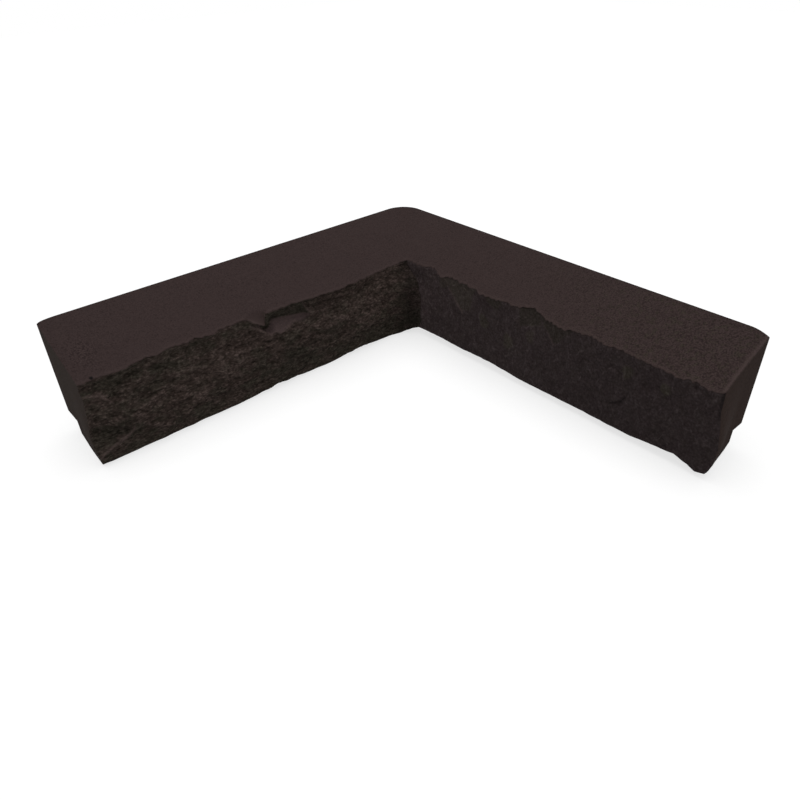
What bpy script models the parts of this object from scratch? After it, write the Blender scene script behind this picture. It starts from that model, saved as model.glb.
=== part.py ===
"""Inside corner ledge of cast stone: a sloping cap with a broken front, turned through a right angle.

The ledge runs along two walls that meet in an inside corner. Its two back faces stand against the
walls, its top slopes down to the front, and a rebate under the back fits over the wall covering
below. The left arm lies along -X and the right arm along -Y. Lengths are in metres, +Z is up and
the origin is the middle of the bounding box at floor level.

Along an arm, places are measured from the back face of the other arm.
"""

import bmesh
import bpy
import numpy as np

# Plan and section, measured from the back faces
LEFT_LENGTH = 0.352
RIGHT_LENGTH = 0.361
LEFT_DEPTH = 0.0615
RIGHT_DEPTH = 0.0530
FULL_HEIGHT = 0.0945
TOP_DROP = 0.0245
OUTER_CORNER_RADIUS = 0.021

# Rebate along the bottom of the back, over the wall covering
LEFT_REBATE_RISE = 0.0168
RIGHT_REBATE_RISE = 0.0205
LEFT_REBATE_DEPTH = 0.0190
RIGHT_REBATE_DEPTH = 0.0125

# Worn edges
ARRIS_ROUND = 0.0012
ARRIS_BAND = 0.0060
LEFT_END_ROUND = 0.0010
RIGHT_END_ROUND = 0.0032
END_ROUND_LENGTH = 0.012

# Belly of the left front. It starts under a hollow band, is full a little above its crest, and
# goes back again below. The crest runs level, dips near the end and runs out at the end's foot.
BAND_DEPTH = 0.0018
BAND_TALL = 0.0105
BAND_START_RUN = 0.0026
BAND_END_RUN = 0.0052
BELLY_DEPTH = 0.0048
BELLY_START_HEIGHT = 0.060
BELLY_FULL_ABOVE_CREST = 0.014
BELLY_LEFT_AT_FOOT = 0.20
BELLY_LEFT_AT_END = 0.50
BELLY_END_RUN = 0.030
CREST_HEIGHT = 0.0215
CREST_DIP = 0.0095
CREST_DIP_PLACE = 0.298
CREST_DIP_RUN = 0.016
CREST_END_FALL = 0.0155
CREST_END_RUN = 0.027

# The foot of the left front swells out to meet the right front in the inside corner
CORNER_SWELL = 0.014
CORNER_SWELL_RUN = 0.026
CORNER_SWELL_AT_ARRIS = 0.10
CORNER_SWELL_GROWTH = 0.032

# Scar in the left arris: a notch with a steep wall towards the corner, and beside it an undercut
# strip over a shelf that slopes out, both tapering away towards the corner
NOTCH_PLACE = 0.2055
NOTCH_RUN = 0.0155
NOTCH_WALL_RUN = 0.0045
NOTCH_FALL = 0.0105
SHELF_CORNER_SIDE = 0.163
SHELF_END_SIDE = 0.221
SHELF_FADE = 0.006
STRIP_DEPTH = 0.0040
STRIP_TALL = 0.0062
SHELF_OUT = 0.0104
SHELF_FALL = 0.0078
SHELF_FALL_AT_TIP = 0.0012

# Chip in the right arris, and the stretch of the left arris that stands proud
CHIP_PLACE = 0.205
CHIP_DEPTH = 0.0060
CHIP_RUN = 0.0125
CHIP_TALL = 0.019
PROUD_PLACE = 0.132
PROUD_DEPTH = 0.0034
PROUD_RUN = 0.054
PROUD_TALL = 0.012

# Lower edges of the fronts above the floor: common height, height of their humps, and the places
# and half lengths of the humps
LEFT_LIP = 0.0010
LEFT_HUMP = 0.0022
LEFT_HUMP_PLACES = (0.115, 0.200)
LEFT_HUMP_RUN = 0.036
RIGHT_LIP = 0.0060
RIGHT_HUMP = 0.0018
RIGHT_HUMP_PLACES = (0.155, 0.343)
RIGHT_HUMP_RUN = 0.034
LIP_MEETING_RUN = 0.030
BEARING_SHARE = 0.72

# The front edge of each end flares out past the end's plane, most at this height; the right one
# tucks in again at its foot. The flare fades out towards the back, ahead of the rebate.
LEFT_FLARE = 0.0034
LEFT_FLARE_HEIGHT = 0.022
LEFT_FLARE_REACH = 0.022
RIGHT_FLARE = 0.0072
RIGHT_FLARE_HEIGHT = 0.028
RIGHT_FLARE_REACH = 0.030
RIGHT_TUCK = 0.0075
RIGHT_TUCK_HEIGHT = 0.010
END_FLAT_MARGIN = 0.004

# The inner edge of the foot is broken away at each end
LEFT_FOOT_CHIP = 0.0050
RIGHT_FOOT_CHIP = 0.0100
FOOT_CHIP_REACH = 0.015
FOOT_CHIP_LENGTH = 0.026
END_INNER_MARGIN = 0.003

# How finely the surface is divided; the top's middle row lies at this share of the depth
TOP_ROW_SHARE = 0.45
ARM_STEPS = 64
CORNER_STEPS = 6
FRONT_STEPS = 13
END_COLUMNS = 4


def smooth_step(value):
    """Rises from 0 to 1 with level ends as value goes from 0 to 1."""
    held = np.clip(value, 0.0, 1.0)
    return held * held * (3.0 - 2.0 * held)


def bell(place, middle, reach):
    """Is 1 at the middle and falls away on both sides over the reach."""
    return np.exp(-(((place - middle) / reach) ** 2))


def tent(place, middle, run):
    """Is 1 at the middle and falls straight to 0 at the run to either side."""
    return np.clip(1.0 - np.abs(place - middle) / run, 0.0, 1.0)


def crest_height(along):
    """Height of the crest of the left belly above the floor."""
    dip = CREST_DIP * bell(along, CREST_DIP_PLACE, CREST_DIP_RUN)
    run_out = CREST_END_FALL * smooth_step((along - LEFT_LENGTH + CREST_END_RUN) / CREST_END_RUN)
    return CREST_HEIGHT - dip - run_out


def left_belly(along, height):
    """How far the belly and the hollow band over it put the left front out of its plane."""
    crest = crest_height(along)
    full = np.minimum(crest + BELLY_FULL_ABOVE_CREST, BELLY_START_HEIGHT - BAND_TALL)
    above = smooth_step((BELLY_START_HEIGHT - height) / (BELLY_START_HEIGHT - full))
    below = 1.0 - (1.0 - BELLY_LEFT_AT_FOOT) * np.clip(1.0 - height / crest, 0.0, 1.0)
    to_end = smooth_step((LEFT_LENGTH - along) / BELLY_END_RUN)
    full_depth = BELLY_DEPTH * (BELLY_LEFT_AT_END + (1.0 - BELLY_LEFT_AT_END) * to_end)
    down = FULL_HEIGHT - TOP_DROP - height
    band = BAND_DEPTH * smooth_step(down / BAND_START_RUN) * smooth_step((BAND_TALL - down) / BAND_END_RUN)
    return full_depth * above * below - band


def left_scar(along, down):
    """Depth of the strip and shelf beside the notch, and how much of the front they take over."""
    run = np.clip((along - SHELF_CORNER_SIDE) / (NOTCH_PLACE - SHELF_CORNER_SIDE), 0.0, 1.0)
    fall = SHELF_FALL_AT_TIP + SHELF_FALL * run
    strip = -STRIP_DEPTH * smooth_step(down / STRIP_TALL)
    shelf = strip + SHELF_OUT * run * np.clip((down - STRIP_TALL) / fall, 0.0, 1.0)
    beside = np.minimum(along - SHELF_CORNER_SIDE, SHELF_END_SIDE - along)
    above = 1.0 - smooth_step((down - STRIP_TALL - fall) / SHELF_FADE)
    return shelf, smooth_step(beside / SHELF_FADE) * above


def left_relief(along, height):
    """How far the left front stands out of its plane."""
    down = FULL_HEIGHT - TOP_DROP - height
    near = np.clip(1.0 - (along - RIGHT_DEPTH) / CORNER_SWELL_RUN, 0.0, 1.0) ** 2
    swell = CORNER_SWELL * near * smooth_step(CORNER_SWELL_AT_ARRIS + down / CORNER_SWELL_GROWTH)
    shelf, taken = left_scar(along, down)
    proud = PROUD_DEPTH * tent(along, PROUD_PLACE, PROUD_RUN) * np.clip(1.0 - down / PROUD_TALL, 0.0, 1.0)
    return left_belly(along, height) * (1.0 - taken) + shelf * taken + swell + proud


def right_relief(along, height):
    """How far the right front stands out of its plane: only the chip under the arris goes back."""
    down = FULL_HEIGHT - TOP_DROP - height
    return -CHIP_DEPTH * tent(along, CHIP_PLACE, CHIP_RUN) * np.clip(1.0 - down / CHIP_TALL, 0.0, 1.0)


def arris_fall(along):
    """Fall of the left arris in the notch, steep on the side of the corner."""
    off = along - NOTCH_PLACE
    to_end = np.clip(1.0 - off / NOTCH_RUN, 0.0, 1.0)
    return NOTCH_FALL * np.where(off > 0.0, to_end, smooth_step(1.0 + off / NOTCH_WALL_RUN))


def lip_height(along, lip, hump, places, run):
    """Height of a front's lower edge above the floor."""
    return lip + hump * sum(tent(along, place, run) for place in places)


def left_flare(depth, height):
    """How far the left end stands out past its plane."""
    flat = LEFT_REBATE_DEPTH + END_FLAT_MARGIN
    fade = smooth_step((depth - flat) / (LEFT_DEPTH - flat))
    return LEFT_FLARE * bell(height, LEFT_FLARE_HEIGHT, LEFT_FLARE_REACH) * fade


def right_flare(depth, height):
    """How far the right end stands out past its plane."""
    flat = RIGHT_REBATE_DEPTH + END_FLAT_MARGIN
    fade = smooth_step((depth - flat) / (RIGHT_DEPTH - flat))
    tuck = RIGHT_TUCK * np.clip(1.0 - height / RIGHT_TUCK_HEIGHT, 0.0, 1.0) ** 2
    return (RIGHT_FLARE * bell(height, RIGHT_FLARE_HEIGHT, RIGHT_FLARE_REACH) - tuck) * fade


def arm_rows(along, section, end, relief, lip, fall):
    """Depth and height of every row of the section at every place of one arm, walked from the top
    back edge forwards, down the front and back underneath."""
    depth, rebate, rise = section
    length, end_round, foot_chip = end
    from_end = np.clip(length - along, 0.0, None)
    worn = end_round * np.clip(1.0 - from_end / END_ROUND_LENGTH, 0.0, 1.0) ** 2
    start = FULL_HEIGHT - TOP_DROP - ARRIS_ROUND
    out_at_arris = relief(along, np.full(along.shape, start))
    level = np.zeros(along.shape)
    rows = []
    reach = depth + out_at_arris
    for deep in (level, TOP_ROW_SHARE * depth + level, np.minimum(reach, depth) - ARRIS_BAND):
        rows.append((deep, FULL_HEIGHT - TOP_DROP * deep / depth - worn))
    rows.append((reach - ARRIS_ROUND, FULL_HEIGHT - TOP_DROP * (reach - ARRIS_ROUND) / depth - worn - fall))
    arris = FULL_HEIGHT - TOP_DROP * reach / depth - ARRIS_ROUND - worn - fall
    for share in np.linspace(0.0, 1.0, FRONT_STEPS + 1):
        rows.append((depth + relief(along, start + (lip - start) * share), arris + (lip - arris) * share))
    rows.append((BEARING_SHARE * depth + level, level))
    rows.append((rebate + FOOT_CHIP_REACH + level, level))
    rows.append((rebate + level, foot_chip * np.clip(1.0 - from_end / FOOT_CHIP_LENGTH, 0.0, 1.0) ** 2))
    rows.append((rebate + level, rise + level))
    rows.append((level, rise + level))
    return np.array([row[0] for row in rows]), np.array([row[1] for row in rows])


def surface():
    """Positions of every row at every station, from the left end round the corner to the right end,
    with the outer corner of the plan at the origin."""
    steps = np.linspace(0.0, 1.0, ARM_STEPS + 1)
    left_along = LEFT_LENGTH - steps * (LEFT_LENGTH - RIGHT_DEPTH)
    right_along = RIGHT_LENGTH - steps * (RIGHT_LENGTH - LEFT_DEPTH)
    left_lip = lip_height(left_along, LEFT_LIP, LEFT_HUMP, LEFT_HUMP_PLACES, LEFT_HUMP_RUN)
    meeting = 1.0 - smooth_step((left_along - RIGHT_DEPTH) / LIP_MEETING_RUN)
    left_lip += (RIGHT_LIP - LEFT_LIP) * meeting
    right_lip = lip_height(right_along, RIGHT_LIP, RIGHT_HUMP, RIGHT_HUMP_PLACES, RIGHT_HUMP_RUN)
    left_section = (LEFT_DEPTH, LEFT_REBATE_DEPTH, LEFT_REBATE_RISE)
    right_section = (RIGHT_DEPTH, RIGHT_REBATE_DEPTH, RIGHT_REBATE_RISE)
    left_end = (LEFT_LENGTH, LEFT_END_ROUND, LEFT_FOOT_CHIP)
    right_end = (RIGHT_LENGTH, RIGHT_END_ROUND, RIGHT_FOOT_CHIP)
    left_deep, left_high = arm_rows(
        left_along, left_section, left_end, left_relief, left_lip, arris_fall(left_along)
    )
    right_deep, right_high = arm_rows(right_along, right_section, right_end, right_relief, right_lip, 0.0)
    left_meets, right_meets = left_deep[:, -1:], right_deep[:, -1:]
    radius = np.maximum(OUTER_CORNER_RADIUS - np.maximum(left_meets, right_meets), 0.0)
    left_ends = LEFT_LENGTH + left_flare(left_deep[:, :1], left_high[:, :1])
    right_ends = RIGHT_LENGTH + right_flare(right_deep[:, :1], right_high[:, :1])
    turn = np.linspace(0.0, np.pi / 2, CORNER_STEPS + 1)[1:-1]
    x = (
        -left_ends + steps * (left_ends - right_meets - radius),
        -right_meets - radius * (1.0 - np.sin(turn)),
        -right_deep[:, ::-1],
    )
    y = (
        -left_deep,
        -left_meets - radius * (1.0 - np.cos(turn)),
        (-right_ends + steps * (right_ends - left_meets - radius))[:, ::-1],
    )
    bend = left_high[:, -1:] + (right_high[:, -1:] - left_high[:, -1:]) * turn / (np.pi / 2)
    z = np.concatenate((left_high, bend, right_high[:, ::-1]), axis=1)
    creased = radius[:, 0] == 0.0
    highest = np.maximum(left_high[:, -1:], right_high[:, -1:])
    z[creased, ARM_STEPS:-ARM_STEPS] = highest[creased]
    return np.stack((np.concatenate(x, axis=1), np.concatenate(y, axis=1), z), axis=-1)


def end_columns(rim, along_axis, length, flat, lowest, flare):
    """Upright columns that close an end: from the rim in front of the flat part back to a line at
    the flat part's edge, each row's places drawn evenly in depth and height."""
    depth_axis = 1 - along_axis
    deep, high = -rim[:, depth_axis], rim[:, 2]
    ahead = np.nonzero(deep > flat)[0]
    top = FULL_HEIGHT - (high.max() - high[ahead[0]]) * flat / deep[ahead[0]] - END_INNER_MARGIN
    target = np.linspace(top, lowest + END_INNER_MARGIN, len(ahead))
    columns = []
    for share in np.linspace(0.0, 1.0, END_COLUMNS + 1)[1:]:
        column = np.zeros((len(ahead), 3))
        drawn_deep = deep[ahead] + (flat - deep[ahead]) * share
        drawn_high = high[ahead] + (target - high[ahead]) * share
        column[:, along_axis] = -length - flare(drawn_deep, drawn_high)
        column[:, depth_axis], column[:, 2] = -drawn_deep, drawn_high
        columns.append(column)
    return ahead, columns


def stone_material():
    """Dark brown cast stone, matt."""
    material = bpy.data.materials.new("dark_cast_stone")
    material.use_nodes = True
    shader = material.node_tree.nodes["Principled BSDF"]
    shader.inputs["Base Color"].default_value = (0.031, 0.021, 0.019, 1.0)
    shader.inputs["Roughness"].default_value = 0.85
    return material


def close_end(shape, rim_verts, ahead, columns):
    """Adds an end's columns as quads from the rim inwards; the flat part behind is filled later."""
    outer = [rim_verts[number] for number in ahead]
    for column in columns:
        inner = [shape.verts.new(place) for place in column]
        for row in range(len(inner) - 1):
            shape.faces.new((outer[row], outer[row + 1], inner[row + 1], inner[row]))
        outer = inner


def build_ledge(collection):
    """Wraps a grid round the section and along both arms, closes the seam and fills the two ends."""
    points = surface()
    around, along = points.shape[:2]
    left_end = end_columns(
        points[:, 0], 0, LEFT_LENGTH, LEFT_REBATE_DEPTH + END_FLAT_MARGIN, LEFT_FOOT_CHIP, left_flare
    )
    right_end = end_columns(
        points[:, -1], 1, RIGHT_LENGTH, RIGHT_REBATE_DEPTH + END_FLAT_MARGIN, RIGHT_FOOT_CHIP, right_flare
    )
    shape = bmesh.new()
    bmesh.ops.create_grid(shape, x_segments=along - 1, y_segments=around, size=1.0)
    shape.verts.ensure_lookup_table()
    wrapped = np.concatenate((points, points[:1])).reshape(-1, 3)
    for vertex, place in zip(shape.verts, wrapped):
        vertex.co = place
    rows = [shape.verts[row * along : (row + 1) * along] for row in range(around)]
    close_end(shape, [row[0] for row in rows], *left_end)
    close_end(shape, [row[-1] for row in rows], *right_end)
    bmesh.ops.remove_doubles(shape, verts=shape.verts, dist=1e-6)
    bmesh.ops.dissolve_degenerate(shape, edges=shape.edges, dist=1e-6)
    bmesh.ops.holes_fill(shape, edges=shape.edges, sides=0)
    bmesh.ops.triangulate(shape, faces=shape.faces)
    bmesh.ops.recalc_face_normals(shape, faces=shape.faces)
    corners = np.array([vertex.co[:] for vertex in shape.verts])
    middle = (corners.min(axis=0) + corners.max(axis=0)) / 2
    bmesh.ops.translate(shape, verts=shape.verts, vec=(-middle[0], -middle[1], 0.0))
    mesh = bpy.data.meshes.new("corner_ledge")
    shape.to_mesh(mesh)
    shape.free()
    mesh.materials.append(stone_material())
    ledge = bpy.data.objects.new("corner_ledge", mesh)
    collection.objects.link(ledge)


for old in list(bpy.data.objects):
    bpy.data.objects.remove(old)
ledge_collection = bpy.data.collections.new("inside_corner_ledge")
bpy.context.scene.collection.children.link(ledge_collection)
build_ledge(ledge_collection)
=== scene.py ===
import bmesh
import bpy
import numpy as np
from mathutils import Matrix, Vector


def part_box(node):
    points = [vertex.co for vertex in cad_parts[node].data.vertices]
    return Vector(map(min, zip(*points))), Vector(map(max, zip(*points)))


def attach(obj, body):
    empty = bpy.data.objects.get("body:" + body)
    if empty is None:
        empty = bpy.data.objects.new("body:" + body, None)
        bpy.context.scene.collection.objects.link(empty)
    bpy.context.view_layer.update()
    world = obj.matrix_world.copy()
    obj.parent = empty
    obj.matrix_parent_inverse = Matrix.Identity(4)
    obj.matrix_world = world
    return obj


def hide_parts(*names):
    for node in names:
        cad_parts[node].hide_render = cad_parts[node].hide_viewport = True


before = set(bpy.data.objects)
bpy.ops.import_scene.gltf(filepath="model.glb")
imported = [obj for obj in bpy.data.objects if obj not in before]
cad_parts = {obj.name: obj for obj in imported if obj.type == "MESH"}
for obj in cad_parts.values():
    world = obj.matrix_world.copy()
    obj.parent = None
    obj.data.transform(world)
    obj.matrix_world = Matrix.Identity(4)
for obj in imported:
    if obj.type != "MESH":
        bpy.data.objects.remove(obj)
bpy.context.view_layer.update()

# Camera
# The ledge is seen from inside the room, from above and between its two arms, with the corner
# pointing away. The camera leans a little to one side, as a hand-held one does.

low, high = (np.array(corner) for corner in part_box("corner_ledge"))
OUTER_CORNER = np.array((high[0], high[1], 0.0))
CAMERA_FROM_CORNER = (-0.4360, -0.4944, 0.3172)
CAMERA_HEADING = 49.452
CAMERA_FALL = 34.856
CAMERA_LEAN = 1.647
CAMERA_LENS = 30.427


def camera_turn(heading, fall, lean):
    """Columns right, up and back of a camera that looks along heading and fall, leaned about its view."""
    turned, lowered, leaned = np.radians((heading, fall, lean))
    view = Vector((np.cos(turned) * np.cos(lowered), np.sin(turned) * np.cos(lowered), -np.sin(lowered)))
    level = Vector((np.sin(turned), -np.cos(turned), 0.0))
    below = view.cross(level)
    right = level * np.cos(leaned) + below * np.sin(leaned)
    up = level * np.sin(leaned) - below * np.cos(leaned)
    return Matrix((right, up, -view)).transposed()


scene = bpy.context.scene
camera = bpy.data.objects.new("camera", bpy.data.cameras.new("camera"))
camera.data.lens = CAMERA_LENS
camera.data.sensor_width = 36.0
camera.data.clip_start = 0.01
camera.matrix_world = Matrix.Translation(OUTER_CORNER + CAMERA_FROM_CORNER) @ camera_turn(
    CAMERA_HEADING, CAMERA_FALL, CAMERA_LEAN
).to_4x4()
scene.collection.objects.link(camera)
scene.camera = camera

# Ledge
# One casting of dark brown stone mix, poured in a mould taken from a pitched stone: two arms that
# meet in an inside corner, with flat backs for the walls, a smooth sloping top, a rebate under the
# back that fits over the wall covering, and broken fronts. It is set in mortar, with no fixings.

LENGTH, HEIGHT = {"left": 0.352, "right": 0.361}, high[2] - low[2]
DEPTH = {"left": 0.0615, "right": 0.0530}
TOP_DROP = 0.0245
BACK_RADIUS = 0.021
RISE = {"left": 0.0168, "right": 0.0205}
REBATE = {"left": 0.0190, "right": 0.0125}
# How round the long edges are, and the shares of the front's height and of the arm's depth at which the
# arris' round ends and the foot lifts off the floor
BACK_EDGE_ROUND, ARRIS_ROUND = 0.0009, 0.0008
ARRIS_SHARE, BEARING_SHARE = 0.02, 0.72
# At the ends: how far the top edge is worn down, the foot chipped and the upper back edge worn back, and the
# distance along the arm that each takes
END_WORN, END_WORN_REACH = {"left": 0.0010, "right": 0.0032}, 0.012
FOOT_CHIP, FOOT_CHIP_REACH = {"left": 0.0050, "right": 0.0100}, 0.026
BACK_WORN, BACK_WORN_REACH = {"left": 0.0016, "right": 0.0}, 0.0040
# How far each end flares out, at what height and over what reach, and how far its foot is tucked in, below
# what height
FLARE = {"left": (0.0034, 0.022, 0.022), "right": (0.0074, 0.026, 0.030)}
TUCK = {"left": (0.0, 0.011), "right": (0.0048, 0.011)}

STATIONS, BEND_STATIONS = {"left": 340, "right": 340}, 12
BACK_ROWS, EDGE_STEPS, TOP_ROWS, FRONT_ROWS, END_RINGS = 5, 3, 26, 96, 8
# Masks on the mesh: proud, by which crests get painted highlight and hollows painted shade; olive, partly
# painted shade; pale wear and painted highlight; shade, painted light and shade with tone patches on the
# fronts and the grain's strength on the top; and the shelf
MASKS, PLAIN_MASKS = ("proud", "olive", "worn", "shade", "shelf"), (0.0, 0.0, 0.0, 1.0, 0.0)
SMOOTH_CAST, LEFT_PITCHED, RIGHT_PITCHED, LEFT_END, RIGHT_END = range(5)


def held(value):
    """The value held from 0 to 1."""
    return np.clip(value, 0.0, 1.0)


def eased(value):
    """Rises from 0 to 1 with level ends: three times the square less twice the cube."""
    share = held(value)
    return share * share * (3.0 - 2.0 * share)


def bell(place, middle, reach):
    """Is 1 at the middle: the exponential of minus the square of the distance over the reach."""
    return np.exp(-(((place - middle) / reach) ** 2))


def square_fade(distance, reach):
    """Is 1 at no distance and falls to 0 at the reach, as the square of what is left of it."""
    return held(1.0 - distance / reach) ** 2


def line_fade(height, line, above, below):
    """Is 1 on a line and falls off as an exponential, over one reach above it and another below."""
    return np.exp(-np.abs(height - line) / np.where(height > line, above, below))


def traced(along, line):
    """The height of a line at each place: straight between its points."""
    return np.interp(along, *zip(*line))


def hashed(cells, seed):
    """A fixed random share from 0 to 1 for each whole-numbered cell: its numbers mixed by products with large
    odd factors and by shifts, of which the lower bits are kept."""
    word, kept, factors = 0xFFFFFFFF, 0xFFFFFF, (374761393, 668265263, 2246822519)
    mixed = np.full(cells.shape[:-1], seed * 2654435761 % (word + 1), np.uint32)
    for axis in range(cells.shape[-1]):
        cell = (cells[..., axis].astype(np.int64) & word).astype(np.uint32)
        mixed = (mixed ^ cell) * np.uint32(factors[axis])
        mixed ^= mixed >> np.uint32(15)
    mixed = mixed * np.uint32(factors[-1])
    return ((mixed ^ (mixed >> np.uint32(13))) & np.uint32(kept)) / float(kept)


def grains(places, size, seed):
    """Soft grain from -1 to 1: a lattice of hashed values with that spacing, blended by eased shares."""
    scaled = places / np.asarray(size)
    base = np.floor(scaled)
    part = eased(scaled - base)
    total = np.zeros(places.shape[:-1])
    for corner in np.ndindex(*(2,) * places.shape[-1]):
        step = np.array(corner)
        weight = np.prod(np.where(step, part, 1.0 - part), axis=-1)
        total += weight * (2.0 * hashed(base + step, seed) - 1.0)
    return total


def flakes(along, up, width, height, seed):
    """Faces that a hammer leaves: each cell of a jittered grid owns a tilted plane, sunk by the square of
    the distance from its middle, and the surface is the outermost plane at each place, from about -1 to 1."""
    place = np.stack((along / width, up / height), axis=-1)
    base = np.floor(place)
    outermost = np.full(along.shape, -9.0)
    for across, above in np.ndindex(3, 3):
        cell = base + (across - 1, above - 1)
        off_along = place[..., 0] - cell[..., 0] - hashed(cell, seed)
        off_up = place[..., 1] - cell[..., 1] - hashed(cell, seed + 1)
        tilt_along = 2.4 * hashed(cell, seed + 2) - 1.2
        tilt_up = 2.4 * hashed(cell, seed + 3) - 1.2
        plane = hashed(cell, seed + 4) + tilt_along * off_along + tilt_up * off_up
        outermost = np.maximum(outermost, plane - 1.1 * (off_along**2 + off_up**2))
    return outermost - 0.75


def chips(distance, knocked):
    """How far an edge goes back: the sum of a tent for each chip, given by its place, its run before and
    after it, and its depth."""
    total = np.zeros(distance.shape)
    for place, before, after, depth in knocked:
        run = np.where(distance < place, before, after)
        total += depth * held(1.0 - np.abs(distance - place) / run)
    return total


def smoothed(field, reach):
    """The field averaged over a square of that many steps to either side, with its border repeated."""
    size = 2 * reach + 1
    for axis in (0, 1):
        padding = [(0, 0), (0, 0)]
        padding[axis] = (reach + 1, reach)
        total = np.cumsum(np.pad(field, padding, mode="edge"), axis=axis)
        count = total.shape[axis]
        field = (np.take(total, range(size, count), axis) - np.take(total, range(count - size), axis)) / size
    return field


# Chips along the two arrises, from the outer corner: place, run before, run after, depth. Where the
# depth is negative the arris stands proud.
CHIPS = {"left": (
    (0.132, 0.060, 0.048, -0.0034),
    (0.219, 0.006, 0.014, 0.0016),
    (0.2385, 0.010, 0.011, 0.0016),
    (0.263, 0.004, 0.008, 0.0026),
    (0.282, 0.011, 0.010, 0.0023),
    (0.303, 0.010, 0.014, 0.0012),
    (0.323, 0.010, 0.009, -0.0015),
), "right": (
    (0.0945, 0.016, 0.009, 0.0036),
    (0.107, 0.006, 0.008, -0.0020),
    (0.122, 0.008, 0.014, 0.0015),
    (0.1545, 0.006, 0.030, -0.0024),
    (0.205, 0.012, 0.013, 0.0062),
    (0.2355, 0.010, 0.008, -0.0020),
    (0.2466, 0.004, 0.006, 0.0013),
    (0.261, 0.007, 0.009, 0.0022),
    (0.290, 0.022, 0.014, 0.0017),
    (0.329, 0.008, 0.007, -0.0010),
    (0.342, 0.008, 0.007, 0.0009),
    (0.364, 0.009, 0.010, 0.0024),
    (0.364, 0.004, 0.010, 0.0045),
)}

# The lower edge of each front above the floor: its common height, then its humps and dips
LIP = {"left": 0.0010, "right": 0.0060}
LIP_HUMPS = {"left": (
    (0.200, 0.040, 0.034, 0.0022),
    (0.115, 0.030, 0.028, 0.0022),
), "right": (
    (0.090, 0.030, 0.060, 0.0010),
    (0.155, 0.030, 0.034, 0.0018),
    (0.336, 0.034, 0.013, 0.0030),
    (0.354, 0.006, 0.010, -0.0022),
)}

# The two crests near the left end, and the line under the lifted flake near the right end: place from the
# outer corner, and height
UPPER_CREST = (
    (0.3322, 0.0370), (0.3330, 0.0460), (0.3370, 0.0515),
    (0.3410, 0.0565), (0.3490, 0.0583), (0.3560, 0.0605),
)
LOWER_CREST = (
    (0.2700, 0.0215), (0.2980, 0.0120), (0.3200, 0.0230), (0.3262, 0.0220), (0.3284, 0.0195),
    (0.3330, 0.0176), (0.3397, 0.0151), (0.3464, 0.0120), (0.3537, 0.0084),
)
LIFTED_FLAKE = ((0.280, 0.0230), (0.2841, 0.0245), (0.2933, 0.0299), (0.2960, 0.0349), (0.2996, 0.0434))

# The scar beside the notch in the left arris: where it starts and stops, where the notch's wall and its end
# are, how tall the undercut strip is, and how deep the notch is
SCAR_CORNER_SIDE, SCAR_WALL, SCAR_END_SIDE, NOTCH_END = 0.168, 0.2055, 0.2125, 0.221
SCAR_STRIP = 0.0066
NOTCH_FALL = 0.0105

# Patches on the left front, where the mix lies darker or paler and more or less olive: place from the outer
# corner, height, reach along, reach up, tone against the rest, and olive share
LEFT_PATCHES = (
    (0.184, 0.026, 0.016, 0.012, 0.82, 0.50),
    (0.295, 0.057, 0.014, 0.010, 0.94, 0.45),
    (0.322, 0.045, 0.012, 0.012, 0.98, 0.35),
    (0.340, 0.046, 0.012, 0.012, 1.10, -0.40),
    (0.152, 0.026, 0.016, 0.012, 1.14, 0.10),
    (0.103, 0.013, 0.016, 0.009, 0.92, 0.15),
    (0.272, 0.037, 0.022, 0.013, 1.12, -0.50),
    (0.300, 0.032, 0.020, 0.011, 1.03, -0.35),
    (0.240, 0.050, 0.022, 0.014, 1.03, -0.55),
    (0.150, 0.056, 0.050, 0.016, 1.03, -0.50),
    (0.090, 0.056, 0.022, 0.016, 1.05, -0.35),
    (0.120, 0.064, 0.034, 0.008, 1.00, -0.40),
)

# Scars where flakes left the right arris: where they start and stop along it, how far each of these sides
# leans to the end for each metre down, how far down the scar reaches where it starts, how much less for each
# metre along, its depth, how pale its rim is, and its tone against the rest of the front
RIGHT_SCARS = (
    (0.1060, 0.1200, 0.00, 0.00, 0.0140, 0.30, 0.0005, 0.0, 1.16),
    (0.1115, 0.1500, 0.80, -0.28, 0.0360, 0.45, 0.0010, 1.0, 1.22),
    (0.1570, 0.1800, 1.10, -0.50, 0.0100, 0.00, 0.0006, 0.3, 1.05),
    (0.1955, 0.2180, 0.10, 0.00, 0.0170, 0.40, 0.0008, 0.3, 0.92),
    (0.2140, 0.2480, 1.12, -0.74, 0.0160, 0.00, 0.0008, 0.7, 1.05),
)

# Small olive flecks on the right front: place from the outer corner, height, reach along, reach up, and share
RIGHT_FLECKS = (
    (0.1577, 0.0440, 0.0056, 0.0066, 1.25),
    (0.1847, 0.0360, 0.0050, 0.0080, 1.15),
    (0.2090, 0.0495, 0.0044, 0.0060, 0.90),
    (0.2950, 0.0560, 0.0052, 0.0056, 1.20),
    (0.3250, 0.0560, 0.0042, 0.0052, 1.30),
)


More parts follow.
